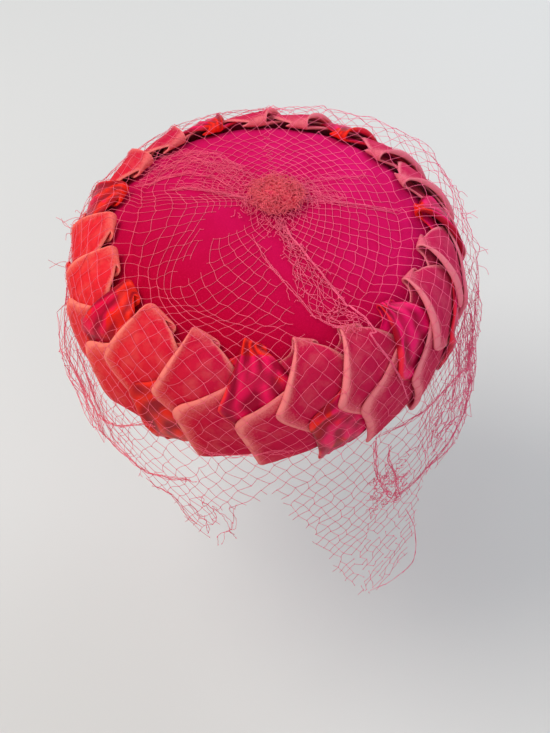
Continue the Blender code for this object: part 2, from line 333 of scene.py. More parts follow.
# Plait: two velvet ribbons and one satin ribbon in a flat three-strand plait, wound round the crown's
# side and stitched to it. Each is folded soft along its left edge and turns back at the band's edges.
REPEATS = 7
STRANDS = 3
PANELS = 2 * STRANDS * REPEATS
PANEL_TURN = 360.0 / PANELS
FIRST_AZIMUTH = -39.9
CLOTH = 1.6
LAYER_STEP = 2.15
LIFT = 0.35 + 0.5 * CLOTH + 3.7 * LAYER_STEP
PITCH = 2 * math.pi * (SIDE_RADIUS + LIFT / 2) / (PANELS / 2)
SLOPE = LAYER_STEP / (PITCH / 2)
ROLL_RADIUS = SLOPE * 1.5 * PITCH / 2
# A ribbon from its head at one edge of the band to its tail at the other, in the upper and the lower
# row. Columns: share of HALF_BAND and of PITCH at its left side, the same at its right side, height of
# the fold along its left side and of its middle in CLOTH.
UPPER_CROSSING = (
    (1.0, -0.20, 1.0, 0.20, 0.7, 0.5),
    (0.86, -0.25, 0.92, 0.42, 1.5, 0.7),
    (0.62, -0.37, 0.80, 0.64, 1.9, 0.9),
    (0.38, -0.49, 0.66, 0.82, 1.9, 0.9),
    (0.20, -0.57, 0.54, 0.95, 1.5, 0.75),
    (0.12, -0.50, 0.44, 1.03, 0.9, 0.6),
    (-0.08, -0.20, 0.22, 1.15, 0.5, 0.5),
    (-0.38, 0.22, -0.10, 1.33, 0.5, 0.5),
    (-0.72, 0.80, -0.60, 1.62, 0.5, 0.5),
    (-1.0, 1.325, -1.0, 1.85, 0.5, 0.5),
)
LOWER_CROSSING = (
    (1.0, -0.36, 1.0, 0.34, 0.7, 0.5),
    (0.84, -0.40, 0.88, 0.60, 1.2, 0.7),
    (0.56, -0.47, 0.70, 0.82, 1.6, 0.85),
    (0.24, -0.58, 0.48, 0.98, 1.7, 0.85),
    (-0.05, -0.68, 0.32, 1.10, 1.5, 0.75),
    (-0.14, -0.60, 0.22, 1.16, 1.1, 0.6),
    (-0.30, -0.28, 0.04, 1.25, 0.8, 0.5),
    (-0.50, 0.14, -0.20, 1.38, 0.5, 0.5),
    (-0.74, 0.78, -0.62, 1.62, 0.5, 0.5),
    (-1.0, 1.325, -1.0, 1.85, 0.5, 0.5),
)
# Where a ribbon turns back at the band's edge: the cross-sections of the turn, in degrees.
ROLL_TURNS = (-60.0, -30.0, 0.0, 30.0, 60.0)
# How far some panels are shifted along the band, in PITCH, as they are in the photograph.
SHIFTS = {0: -0.16, 2: -0.03, 6: 0.05, 12: -0.06, 5: 0.04, 9: -0.05, 24: 0.05, 31: -0.04}
# Shares of the ribbon's width at which each of its two faces is drawn.
ACROSS = np.array((0, 0.012, 0.03, 0.055, 0.085, 0.12, 0.16, 0.22, 0.32, 0.45, 0.6, 0.75, 0.88, 0.955, 1))


def ribbon_faces(fold, middle):
    """Heights in CLOTH and edge masks of the lower and the upper face over the ribbon's own layer."""
    u = ACROSS
    roll = max(0.0, fold - middle)
    upper = middle - (middle - 0.12) * np.clip((u - 0.9) / 0.1, 0, 1) ** 2
    upper = upper + roll * np.exp(-(((u - 0.075) / 0.062) ** 2))
    upper -= (0.25 + 0.3 * roll) * np.clip(1 - u / 0.03, 0, 1) ** 2
    lower = -0.5 + 0.3 * np.abs(2 * u - 1) ** 8
    # The edge mask: on the velvet a painted highlight along the folded crest, broad where the fold rolls, and
    # a line along the selvage; on the satin its upper end gives the frayed edge's colour.
    crest = np.clip(1.4 - u / (0.04 + 0.065 * min(1.0, roll)), 0, 1)
    crest = np.maximum(crest, 0.55 * np.exp(-((u / 0.17) ** 2)))
    selvage = np.clip(1.5 - (1 - u) / 0.045, 0, 1)
    mask = np.maximum(crest, selvage)
    return lower, mask, upper, mask


def ribbon_line(panel, row, width):
    """The lower and the upper face of one cross-section.

    Each is an array of x, y, height, edge mask, share of the width, and how far the face shows.
    """
    left_up, left, right_up, right, fold, middle = row
    centre, half = (left + right) / 2, (right - left) / 2 * width
    middle_up, rise = (left_up + right_up) / 2, (right_up - left_up) / 2 * width
    shift = SHIFTS.get(panel % PANELS, 0.0) * max(0.0, middle_up)
    x0 = (centre - half + shift) * PITCH
    x1 = (centre + half + shift * 0.5) * PITCH
    x = x0 + ACROSS * (x1 - x0)
    y = (middle_up - rise + 2 * rise * ACROSS) * HALF_BAND
    low, low_mask, high, high_mask = ribbon_faces(fold, middle)
    # The right side sinks where the ribbon turns back, so that the turn closes there.
    turn = np.clip((abs(middle_up) - 0.78) / 0.22, 0, 1) * ACROSS**1.4
    sink = np.where(middle_up > 0, -3.1, 2.2) * turn
    show = np.full_like(x, np.clip((middle_up + 0.35) / 0.3, 0, 1))
    lower = np.stack((x, y, low * CLOTH + sink, low_mask, ACROSS, show), axis=1)
    upper = np.stack((x, y, high * CLOTH + sink, high_mask, ACROSS, show), axis=1)
    return lower, upper


def ribbon_ring(panel, row, width, upper_first):
    """One cross-section as a ring, with the face that comes first along it."""
    lower, upper = ribbon_line(panel, row, width)
    first, second = (upper, lower) if upper_first else (lower, upper)
    return np.concatenate((first, second[::-1]))


def control_rows(first, width):
    """The ribbon's cross-sections in order, as arrays of azimuth, y, height, edge mask, share and show."""
    rows = []
    for panel in range(first, PANELS, STRANDS):
        turned = panel % 2 == 1
        side = -1 if turned else 1
        crossing, coming = (LOWER_CROSSING, UPPER_CROSSING) if turned else (UPPER_CROSSING, LOWER_CROSSING)
        for row in crossing:
            x, y, off, mask, share, show = ribbon_ring(panel, row, width, turned).T
            azimuth = FIRST_AZIMUTH + (panel + 2 * x / PITCH) * PANEL_TURN
            rows.append(np.stack((azimuth, side * y, LIFT - SLOPE * x + off, mask, share, show), axis=1))
        leave = ribbon_ring(panel, crossing[-1], width, turned)
        arrive = ribbon_ring(panel + STRANDS, coming[0], width, not turned)
        for turn in ROLL_TURNS:
            share = (turn + 90.0) / 180.0
            at = (leave[:, 0] - 1.5 * PITCH) * (1 - share) + arrive[:, 0] * share
            reach = ROLL_RADIUS - leave[:, 2] * (1 - share) + arrive[:, 2] * share
            azimuth = FIRST_AZIMUTH + (panel + STRANDS + 2 * at / PITCH) * PANEL_TURN
            out = HALF_BAND + reach * math.cos(math.radians(turn))
            height = LIFT - SLOPE * at - ROLL_RADIUS + reach * math.sin(math.radians(turn))
            mask = leave[:, 3] * (1 - share) + arrive[:, 3] * share
            show = leave[:, 5] * (1 - share) + arrive[:, 5] * share
            rows.append(np.stack((azimuth, -side * out, height, mask, leave[:, 4], show), axis=1))
    return np.array(rows)


def smooth_rows(rows, steps):
    """More rows on a smooth curve through the given ones, which close round the hat after 360 degrees."""
    count = len(rows)
    turn = np.zeros(rows.shape[2])
    turn[0] = 360.0
    ring = np.concatenate((rows[-2:] - turn, rows, rows[:3] + turn))
    middle = ring.mean(axis=1)
    gaps = np.hypot(np.diff(middle[:, 0]) * math.radians(SIDE_RADIUS), np.diff(middle[:, 1]))
    gaps = np.hypot(gaps, np.diff(middle[:, 2])).clip(0.5)
    slopes = np.diff(ring, axis=0) / gaps[:, None, None]
    before, after = gaps[:-1, None, None], gaps[1:, None, None]
    tangents = (after * slopes[:-1] + before * slopes[1:]) / (before + after)
    fine = []
    for k in range(count):
        start, end, gap = ring[k + 2], ring[k + 3], gaps[k + 2]
        leaving, arriving = tangents[k + 1] * gap, tangents[k + 2] * gap
        pieces = steps if gap > 6 else max(1, steps // 3)
        for t in np.arange(pieces) / pieces:
            a, b = 2 * t**3 - 3 * t**2 + 1, t**3 - 2 * t**2 + t
            c, d = 3 * t**2 - 2 * t**3, t**3 - t**2
            fine.append(a * start + b * leaving + c * end + d * arriving)
    return np.array(fine)


def pleat_fold(u, along, seed):
    """How far the satin stands up between its soft pleats, above 0, or sinks in one, below 0."""
    sway = noise.noise(Vector((0.5 * u, along * 0.022, seed + 5)))
    crease = math.sin(math.pi * (3.4 * u + 1.6 * sway + 0.2))
    crumple = noise.noise(Vector((u * 5, along * 0.09, seed + 9)))
    return 1 - 1.6 * abs(crease) ** 0.6 + 0.9 * crumple


def add_mask(piece, name, values):
    mask = piece.data.attributes.new(name, "FLOAT", "POINT")
    mask.data.foreach_set("value", values.astype(np.float32).ravel())


# The ribbons' width and the step that closes them, as their weave is laid out in the UV map.
CLOTH_WIDTH = 40.0
CLOSING_STEP = 2.0


def lay_out_cloth(piece, rows, along):
    """A UV map in metres, across the ribbon and along it."""
    count, corners = rows.shape[:2]
    ends = np.append(along, along[-1] + CLOSING_STEP)
    places = []
    for i in range(count):
        for k in range(corners):
            n = (k + 1) % corners
            for row, corner in ((i, k), (i, n), (i + 1, n), (i + 1, k)):
                places.append((rows[i, corner, 4] * CLOTH_WIDTH * MM, ends[row] * MM))
    cloth = piece.data.uv_layers.new(name="cloth")
    cloth.data.foreach_set("uv", np.array(places, np.float32).ravel())


# How much of the satin's orange-red back shows, by azimuth.
REVERSE_AT = (0.0, 8.0, 22.0, 60.0, 95.0, 180.0, 250.0, 292.0, 303.0, 312.0, 318.0, 338.0, 346.0, 360.0)
REVERSE_SHARE = (0.38, 0.3, 0.3, 0.05, 0.25, 0.35, 0.45, 0.42, 0.5, 0.92, 0.95, 0.9, 0.36, 0.38)
# Where a ribbon turns over the band's upper edge, as a share of HALF_BAND.
TURNS_OVER_AT = 0.86
# About how far the plait lies from the hat's middle.
PLAIT_REACH = 120.0


def build_ribbon(name, first, width, pleats, seed):
    """A ribbon of the plait, from its first panel on, and its length. Pleats gives their height, or 0."""
    rows = smooth_rows(control_rows(first, width), 6)
    count, corners = rows.shape[:2]
    azimuth, up = rows[:, :, 0], rows[:, :, 1] / HALF_BAND
    r, z = band_section(rows[:, :, 1], rows[:, :, 2])
    points = on_ring(azimuth, r, z)
    along = np.cumsum(np.linalg.norm(np.diff(points.mean(axis=1), axis=0, prepend=0), axis=1))
    along -= along[0]
    pleat_shade_mask = np.zeros((count, corners))
    for i in range(count):
        for k in range(corners):
            u, show = rows[i, k, 4], rows[i, k, 5]
            rise = 0.5 * noise.noise(Vector((u * 2.4, along[i] * 0.045, seed)) * 1.7)
            if pleats:
                fold = pleat_fold(u, along[i], seed)
                rise += pleats * show * fold
                # The valley mask says where the satin is painted darker, as shade in its pleats.
                pleat_shade_mask[i, k] = show * max(0.0, 0.15 - fold)
            points[i, k] *= 1 + rise / PLAIT_REACH
    piece = make_mesh(name, points.reshape(-1, 3), ring_faces(count, corners, closed=True))
    # Where the ribbon turns over the band's top, the edge mask grows: a painted highlight on the velvet.
    top_turn_highlight = 0.5 * np.clip((up - TURNS_OVER_AT) / 0.2, 0, 1)
    add_mask(piece, "edge", np.clip(rows[:, :, 3], top_turn_highlight, 1))
    if pleats:
        add_mask(piece, "valley", np.clip(pleat_shade_mask, 0, 1))
        reverse = np.interp(azimuth % 360.0, REVERSE_AT, REVERSE_SHARE)
        add_mask(piece, "reverse", reverse + 0.55 * np.clip((up - TURNS_OVER_AT) / 0.14, 0, 1))
    lay_out_cloth(piece, rows, along)
    shade_smooth(piece)
    return piece, along[-1]


def read_mask(tree, name):
    return add_node(tree, "ShaderNodeAttribute", attribute_name=name).outputs["Fac"]


# Velvet's pile in front, painted pinker at the back right for the cool light and coral at the left for the
# warm light, and its painted edge highlight in front and behind.
PILE_FRONT = (0.54, 0.006, 0.032, 1)
PILE_BACK_COOL_LIT = (0.52, 0.016, 0.09, 1)
PILE_LEFT_WARM_LIT = (0.78, 0.022, 0.030, 1)
EDGE_HIGHLIGHT_FRONT = (0.95, 0.27, 0.20, 1)
EDGE_HIGHLIGHT_BACK = (0.88, 0.27, 0.34, 1)


def build_velvet_finish():
    finish, tree, shader = new_finish("velvet_pile", 0.95, 0.03, 0.2, (1.0, 0.28, 0.26), 0.3)
    fine, broad = nap_masks(tree, 0.0011, 0.011)
    cool_lit = painted_light_mask(tree)
    # Painted light: the pile is tinted pinker towards the back right for the cool light, and coral at the
    # left for the warm light.
    pile = mix_colours(tree, cool_lit, PILE_FRONT, PILE_BACK_COOL_LIT)
    pile = mix_colours(tree, painted_light_mask(tree, -15.0, -3.0, -0.75), pile, PILE_LEFT_WARM_LIT)
    painted_highlight = mix_colours(tree, cool_lit, EDGE_HIGHLIGHT_FRONT, EDGE_HIGHLIGHT_BACK)
    # Lighter patches of crushed pile, painted in the highlight colour as where the pile catches the light.
    lit = mix_colours(tree, map_range(tree, broad, 0.46, 0.70, 0.15), pile, painted_highlight)
    grain = calculate(tree, "MULTIPLY_ADD", fine, 0.6, -0.03)
    # Painted highlight along the folded crest and the turn over the band's top, from the edge mask and broken
    # by the pile's grain; the same light colour lies along the selvage.
    edge_highlight = calculate(tree, "ADD", read_mask(tree, "edge"), grain, clamp=True)
    colour = mix_colours(tree, map_range(tree, edge_highlight, 0.45, 1.15, 0.9), lit, painted_highlight)
    link_finish(tree, shader, colour, fine, 0.5, 0.0005)
    return finish


velvet_finish = build_velvet_finish()
for name, node, first, seed in (
    ("velvet_ribbon_1", "plait_velvet_1", 0, 11.0),
    ("velvet_ribbon_2", "plait_velvet_2", 2, 23.0),
):
    ribbon, length = build_ribbon(name, first, 1.0, 0.0, seed)
    ribbon.data.materials.append(velvet_finish)
    join_hat(ribbon, node, node)

# Satin's face in front and, tinted for the painted cool light, at the back right, its orange-red back, its
# frayed edges and the painted shade in its pleats' valleys.
SATIN_FRONT = (0.78, 0.004, 0.05, 1)
SATIN_BACK_RIGHT_COOL_LIT = (0.86, 0.008, 0.16, 1)
SATIN_REVERSE = (0.85, 0.018, 0.006, 1)
SATIN_EDGE = (0.82, 0.03, 0.02, 1)
SATIN_VALLEY_SHADE = (0.22, 0.0, 0.012, 1)


def build_satin_finish():
    finish, tree, shader = new_finish("satin_ribbon", 0.38, 0.16, 0.0, (1.0, 1.0, 1.0), 0.3)
    shader.inputs["Specular Tint"].default_value = (1.0, 0.45, 0.55, 1)
    place = add_node(tree, "ShaderNodeUVMap", uv_map="cloth").outputs[0]
    values = {"Vector": place, "Scale": 700.0, "Distortion": 1.5}
    streaks = add_node(tree, "ShaderNodeTexWave", values, bands_direction="X")
    spread = calculate(tree, "MULTIPLY_ADD", speckle(tree, 46.0, 3.0), 1.6, -0.8)
    back = calculate(tree, "ADD", read_mask(tree, "reverse"), spread)
    # Painted light: the face is tinted pinker towards the back right for the cool light there.
    face = mix_colours(tree, painted_light_mask(tree), SATIN_FRONT, SATIN_BACK_RIGHT_COOL_LIT)
    colour = mix_colours(tree, map_range(tree, back, 0.46, 0.58, 1.0), face, SATIN_REVERSE)
    fray = map_range(tree, read_mask(tree, "edge"), 0.75, 1.0, 0.7)
    # Painted shade: the satin darkens to deep red in its pleats' valleys, where the shade falls.
    valley_shade = map_range(tree, read_mask(tree, "valley"), 0.08, 0.7, 0.8)
    shaded = mix_colours(tree, valley_shade, mix_colours(tree, fray, colour, SATIN_EDGE), SATIN_VALLEY_SHADE)
    link_finish(tree, shader, shaded, streaks.outputs["Fac"], 0.12, 0.0003)
    return finish


satin, satin_length = build_ribbon("satin_ribbon", 1, 0.84, 0.9, 37.0)
satin.data.materials.append(build_satin_finish())
join_hat(satin, "plait_satin", "plait_satin")


# Net veil: one piece of fine knotted thread net in diamond cells, gathered under a puff on the crown,
# drawn over the plait and left to hang. It is caught in folds at the left and the right, crumpled into
# a rope at the front right, torn open in four places on the crown and ragged along its hem.
NET_STEP = 0.294
NET_TURN = 0.45
NET_EVEN_FROM = 85.0
NET_EVEN_CELL = 8.0
NET_DOME_END = 76.0
THREAD_RADIUS = 0.15
KNOT_RADIUS = 0.36
PUFF_PLACE = np.array((6.0, 12.0))

# The line that the net follows from the crown's edge down, as r and z, with the way towards the hat.
net_line = [(NET_DOME_END, dome_z(NET_DOME_END) + 0.7, 0.0, -1.0)]
for y, height in (
    (52, 4.2), (42, 11.6), (32, 14.6), (20, 14.6), (8, 14.6), (-4, 14.6), (-14, 14.6), (-22, 14.6),
):
    r, z = band_section(y, height)
    lean = math.radians(np.interp(min(y, HALF_BAND) / HALF_BAND, LEAN_AT, LEAN_DEGREES))
    net_line.append((r, z, -math.cos(lean), -math.sin(lean)))
for r, z in ((124.3, 5.0), (125.6, -20.0), (126.6, -60.0), (127.4, -120.0), (128.0, -200.0)):
    net_line.append((r, z, -1.0, 0.0))
NET_LINE = np.array(net_line)
NET_LINE_STEPS = np.hypot(*np.diff(NET_LINE[:, :2], axis=0).T)
NET_LINE_AT = NET_DOME_END + np.concatenate(((0,), np.cumsum(NET_LINE_STEPS)))

# How far the net hangs below the rim, by azimuth.
HEM_DEPTH = (
    (-190, 33), (-180, 34), (-166, 38), (-146, 41), (-126, 47), (-106, 57), (-96, 62), (-88, 60),
    (-80, 50), (-72, 41), (-61, 36), (-53, 33), (-45, 33), (-41, 44), (-35, 48), (-31, 43), (-26, 50),
    (-22, 66), (-17, 76), (-15, 66), (-13, 36), (-8, 30), (-4, 20), (-1.5, 17), (2, 14), (6.6, 38),
    (10.3, 50), (14.5, 86), (18.4, 106), (23.8, 133), (29, 162), (34.8, 178), (40, 175), (46, 161),
    (48.5, 132), (50, 92), (53, 76), (60, 70), (70, 64), (80, 61), (94, 59), (114, 50), (134, 41),
    (154, 36), (174, 34), (190, 33),
)
HEM_AT, HEM_TO = np.array(HEM_DEPTH, float).T
# Folds that draw the net together: azimuth, strength, width in degrees, first and last place down the
# line where they hold, and how far they stand out.
NET_FOLDS = (
    (-105, 0.62, 22, 18, 96, 0.0), (97, 0.5, 12, 18, 110, 0.5),
    (-75, 0.6, 10, 165, 400, 3.5), (-100, 0.5, 9, 165, 400, -2.0), (-54, 0.4, 7, 175, 400, 2.0),
    (72, 0.6, 9, 140, 400, 2.5), (52, 0.4, 7, 160, 400, -2.0), (88, 0.5, 7, 150, 400, 2.5),
    (-140, 0.4, 12, 175, 400, 2.0), (140, 0.4, 12, 175, 400, 2.0),
)
# Where the net is torn open on the crown, as x and y seen from above.
NET_HOLES = (
    (
        (-53.1, 23.4), (-49.9, 30.2), (-42.8, 33.7), (-38.5, 30.2), (-36.5, 21.7), (-41.7, 17.5),
        (-48.1, 15.8),
    ),
    (
        (-38.6, -26.3), (-36.3, -6.4), (-30.2, 2.6), (-22.1, 7.5), (-12.1, 4.3), (-9.1, -3.9),
        (-15.9, -12.0), (-26.3, -13.6), (-32.0, -18.4), (-33.8, -35.6), (-39.1, -46.3), (-50.1, -50.8),
        (-53.7, -44.8), (-46.2, -35.6),
    ),
    (
        (8.7, -39.3), (13.6, -53.3), (22.3, -65.7), (31.5, -76.4), (34.0, -84.7), (27.4, -88.9),
        (18.7, -84.1), (11.8, -71.4), (8.5, -58.5),
    ),
    ((0.2, -16.0), (9.3, -17.6), (11.5, -31.7), (16.9, -46.9), (14.0, -55.2), (6.3, -46.9), (0.8, -32.4)),
)


def build_touch_tree(pieces):
    """The surfaces that the net rests on, in millimetres."""
    points, faces = [], []
    for piece in pieces:
        start = len(points)
        places = np.zeros(len(piece.data.vertices) * 3)
        piece.data.vertices.foreach_get("co", places)
        points += (places.reshape(-1, 3) / MM).tolist()
        faces += [tuple(start + corner for corner in polygon.vertices) for polygon in piece.data.polygons]
    return BVHTree.FromPolygons(points, faces)


def inside_shape(x, y, corners):
    hit = False
    for (x0, y0), (x1, y1) in zip(corners, corners[1:] + corners[:1]):
        if (y0 > y) != (y1 > y) and x < x0 + (y - y0) / (y1 - y0) * (x1 - x0):
            hit = not hit
    return hit


def net_down(size):
    """Distance from the crown's middle along the net, at a distance from the lattice's own middle."""
    even = NET_EVEN_FROM**NET_TURN
    near = np.minimum(size, even) ** (1 / NET_TURN)
    return near + np.maximum(0, size - even) * NET_EVEN_CELL / NET_STEP


def hold(value, start, end, soft=14.0):
    """1 between start and end, falling to 0 over soft on either side."""
    return float(np.clip((value - start) / soft + 1, 0, 1) * np.clip((end - value) / soft + 1, 0, 1))


# How much the hanging net leans in under the hat, by azimuth.
TAPER_AT = (-190, -130, -90, -70, -40, 0, 45, 62, 80, 100, 130, 190)
TAPER = (0.25, 0.38, 0.3, 0.14, 0.06, 0.0, 0.0, -0.06, -0.09, 0.0, 0.3, 0.25)
# How far the hanging net's second layer lies inside the first, and where it is: azimuths, and heights
# it starts and ends at.
LAYER_INSIDE = 6.0
SECOND_LAYER = ((-124, -44, 8, -46), (50, 112, 24, -58))
# Distances along the net: where its hem and its second layer take over from the holes in the crown's
# net, and where it hangs free.
NET_LOWER = 150.0
NET_HANGS = 175.0


def net_place(azimuth, down, touch, loft=0.0, layer=0):
    """The place of a point of the net, from its azimuth and its distance along the net."""
    out = 0.0
    turned = azimuth
    for middle, strength, width, start, end, stands in NET_FOLDS:
        for around in (middle - 360, middle, middle + 360):
            gap = azimuth - around
            if abs(gap) < 3 * width:
                fall = math.exp(-((gap / width) ** 2)) * hold(down, start, end)
                turned -= strength * gap * fall
                out += stands * fall
    if down < NET_DOME_END:
        r = down
        place = on_ring(turned, r, dome_z(r))
        near = max(0.0, 1 - r / 80) ** 1.3
        place[:2] += PUFF_PLACE * near
        lump = 1.4 * max(0.0, noise.noise(Vector((place[0] * 0.06, place[1] * 0.06, 3.1))))
        rise = 0.45 + lump + 4.0 * math.exp(-((max(0.0, r - 6) / 9) ** 2)) + loft
        place[2] = dome_z(math.hypot(place[0], place[1])) + rise
        start, way = Vector(place) + Vector((0, 0, 3)), Vector((0, 0, -1))
        hit = touch.ray_cast(start, way, 12.0)[0]
        if hit and hit.z + 0.3 > place[2]:
            place[2] = hit.z + 0.3
        return place
    r, z, way_r, way_z = (float(np.interp(down, NET_LINE_AT, NET_LINE[:, k])) for k in range(4))
    hanging = hold(down, NET_HANGS, 500, 25)
    r -= float(np.interp(turned, TAPER_AT, TAPER)) * max(0.0, 3.0 - z) + layer * LAYER_INSIDE * hanging
    swell = 11.0 * math.exp(-(((turned - 128) / 34) ** 2)) * hold(down, 112, 165, 18)
    swell += 5.0 * math.exp(-(((turned - 90) / 16) ** 2)) * hold(down, 150, 190, 18)
    swell += 2.0 * max(0.0, noise.noise(Vector((turned * 0.05, down * 0.03, 8.8))))
    wave = hanging * (out + 2.8 * noise.noise(Vector((turned * 0.055, down * 0.006, 1.7 + layer))))
    turn = math.radians(turned)
    across = np.array((math.sin(turn), -math.cos(turn), 0.0))
    envelope = across * r + np.array((0, 0, z))
    inward = across * way_r + np.array((0, 0, way_z))
    if hanging < 1.0:
        start = Vector(envelope - inward * 8)
        hit, _, _, depth = touch.ray_cast(start, Vector(inward), 24.0)
        rest = 2.6 if hit is None else min(2.6, depth - 8 - 0.45)
        rest = rest * (1 - hanging)
        envelope = envelope + inward * rest
    return envelope - inward * (swell * (1 - 0.4 * hanging) + loft) + across * wave


def drawn_left(azimuth, down):
    """How far the net is pulled from the puff, or towards it, over the left of the crown."""
    place = (azimuth + 60) / 26
    return 15.0 * place * math.exp(0.5 - 0.5 * place**2) * hold(down, 52, 64, 42)


def net_knots(layer, draw):
    """The net's knots by their place in its lattice, each as azimuth and distance along the net."""
    reach = int(19.0 / NET_STEP)
    knots = {}
    for i in range(-reach, reach):
        for j in range(-i, reach):
            u, v = (i + j) / math.sqrt(2) * NET_STEP, (j - i) / math.sqrt(2) * NET_STEP
            azimuth = math.degrees(math.atan2(v, u)) / NET_TURN
            down = net_down(math.hypot(u, v))
            if abs(azimuth) > 184 or down < 5 or down > 400:
                continue
            even = min(1.0, down / 60)
            azimuth += draw.uniform(-1, 1) * 0.9 * even + layer * 4.3
            azimuth += 2.2 * noise.noise(Vector((i * 0.16, j * 0.16, 0.5 + layer)))
            down += draw.uniform(-1, 1) * 0.9 * even
            down += 3.0 * even * noise.noise(Vector((i * 0.16, j * 0.16, 7.5)))
            down += drawn_left(azimuth, down)
            if not layer or down > NET_LOWER:
                knots[i, j] = (azimuth, down)
    return knots


def is_torn(azimuth, down, place, layer):
    """Whether the net is missing at a place: in a hole, below the hem or outside the second layer."""
    if layer:
        height = place[2] + 7 * noise.noise(Vector((azimuth * 0.1, 0, 6)))
        return not any(
            first < azimuth < last and bottom < height < top for first, last, top, bottom in SECOND_LAYER
        )
    if down < NET_LOWER:
        return any(inside_shape(place[0], place[1], shape) for shape in NET_HOLES) and place[2] > 60
    ragged = 3.5 * noise.noise(Vector((azimuth * 0.11, 4.4, 0)))
    return place[2] < ragged - float(np.interp(azimuth, HEM_AT, HEM_TO))


def build_net(touch, layer=0):
    """The net's points, threads and knots, sorted into the part on the hat and the part that hangs."""
    draw = random.Random(41 + layer)
    parts = {"hat": ([], [], []), "hanging": ([], [], [])}
    seen = {"hat": {}, "hanging": {}}
    knots = net_knots(layer, draw)
    places = {key: net_place(*knot, touch, 0.0, layer) for key, knot in knots.items()}
    lost = {key: is_torn(*knots[key], places[key], layer) for key in knots}
    for (i, j), start in knots.items():
        for other in ((i + 1, j), (i, j + 1)):
            if other not in knots:
                continue
            end = knots[other]
            if lost[i, j] and lost[other]:
                continue
            ragged = 0.3 if places[i, j][2] < -88 and start[0] > 24 else 0.012
            if draw.random() < ragged:
                continue
            # A thread is drawn in thirds, and keep is how many are left of one with a torn end.
            keep = 3
            if lost[i, j] or lost[other]:
                keep = 0 if draw.random() < 0.3 else 1 + (draw.random() < 0.4)
            slack = draw.uniform(-1, 1)
            chain = []
            for k in range(4):
                if k > keep and lost[other] or 3 - k > keep and lost[i, j] or keep == 0:
                    continue
                t = k / 3
                azimuth = start[0] * (1 - t) + end[0] * t
                down = start[1] * (1 - t) + end[1] * t
                if k == 0 or k == 3:
                    key = (i, j) if k == 0 else other
                    chain.append((key, places[key]))
                    continue
                bow = math.sin(math.pi * t)
                spin = slack * bow * 0.6 * min(1.0, down / 50)
                azimuth += math.degrees(spin / max(40.0, min(down, 120.0)))
                chain.append((None, net_place(azimuth, down + spin, touch, 0.15 * abs(slack), layer)))
            part = "hat" if places[i, j][2] > 6 else "hanging"
            points, edges, marks = parts[part]
            numbers = []
            for key, place in chain:
                if key is not None and key in seen[part]:
                    numbers.append(seen[part][key])
                    continue
                if key is not None:
                    seen[part][key] = len(points)
                numbers.append(len(points))
                points.append(place)
                marks.append(key is not None)
            edges += list(zip(numbers, numbers[1:]))
    return parts


def build_thread_tree(name, material):
    """Threads swept along a mesh's edges, with a small knot at each marked point."""
    tree = bpy.data.node_groups.new(name, "GeometryNodeTree")
    for label, way, kind in (
        ("Geometry", "INPUT", "Geometry"), ("Thread radius", "INPUT", "Float"), ("Sides", "INPUT", "Int"),
        ("Knot radius", "INPUT", "Float"), ("Geometry", "OUTPUT", "Geometry"),
    ):
        tree.interface.new_socket(label, in_out=way, socket_type="NodeSocket" + kind)
    given = tree.nodes.new("NodeGroupInput").outputs
    lines = add_node(tree, "GeometryNodeMeshToCurve", {"Mesh": given["Geometry"]})
    circle = add_node(tree, "GeometryNodeCurvePrimitiveCircle", {
        "Resolution": given["Sides"], "Radius": given["Thread radius"],
    })
    sweep = add_node(tree, "GeometryNodeCurveToMesh", {
        "Curve": lines.outputs["Curve"], "Profile Curve": circle.outputs["Curve"], "Fill Caps": True,
    })
    mark = add_node(tree, "GeometryNodeInputNamedAttribute", {"Name": "knot"}, data_type="BOOLEAN")
    ball = add_node(tree, "GeometryNodeMeshIcoSphere", {"Radius": given["Knot radius"], "Subdivisions": 1})
    scatter = add_node(tree, "GeometryNodeInstanceOnPoints", {
        "Points": given["Geometry"], "Selection": mark.outputs["Attribute"], "Instance": ball.outputs["Mesh"],
    })
    join = add_node(tree, "GeometryNodeJoinGeometry", {0: sweep.outputs["Mesh"]})
    tree.links.new(scatter.outputs["Instances"], join.inputs[0])
    real = add_node(tree, "GeometryNodeRealizeInstances", {0: join.outputs[0]})
    dye = add_node(tree, "GeometryNodeSetMaterial", {"Geometry": real.outputs[0], "Material": material})
    add_node(tree, "NodeGroupOutput", {0: dye.outputs["Geometry"]})
    return tree


def sweep_threads(name, points, edges, marks, tree, thread, knot, sides=3):
    """A plain mesh of threads along the edges, with the threads' and the knots' radius in millimetres."""
    guide = make_mesh(name + "_guide", points, (), edges)
    mark = guide.data.attributes.new("knot", "BOOLEAN", "POINT")
    mark.data.foreach_set("value", marks)
    modifier = guide.modifiers.new("threads", "NODES")
    modifier.node_group = tree
    values = {"Thread radius": thread * MM, "Sides": sides, "Knot radius": knot * MM}
    for item in tree.interface.items_tree:
        if item.in_out == "INPUT" and item.name in values:
            modifier[item.identifier] = values[item.name]
    shape = bpy.data.meshes.new_from_object(guide.evaluated_get(bpy.context.evaluated_depsgraph_get()))
    shape.name = name
    guide.modifiers.clear()
    bpy.data.objects.remove(guide)
    piece = add_object(name, shape)
    shade_smooth(piece)
    return piece


def build_thread_finish(name, warm_lit, cool_lit):
    finish, tree, shader = new_finish(name, 0.62, 0.25, 0.15, (1.0, 0.6, 0.6), 0.4)
    # Painted light: the thread goes from its colour in the warm light at the front left to its colour in the
    # cool light at the back right.
    base = mix_colours(tree, painted_light_mask(tree), warm_lit, cool_lit)
    uneven = map_range(tree, speckle(tree, 130.0, 2.0), 0.3, 0.7, 0.4)
    link_finish(tree, shader, mix_colours(tree, uneven, base, (0.52, 0.03, 0.07, 1)))
    return finish


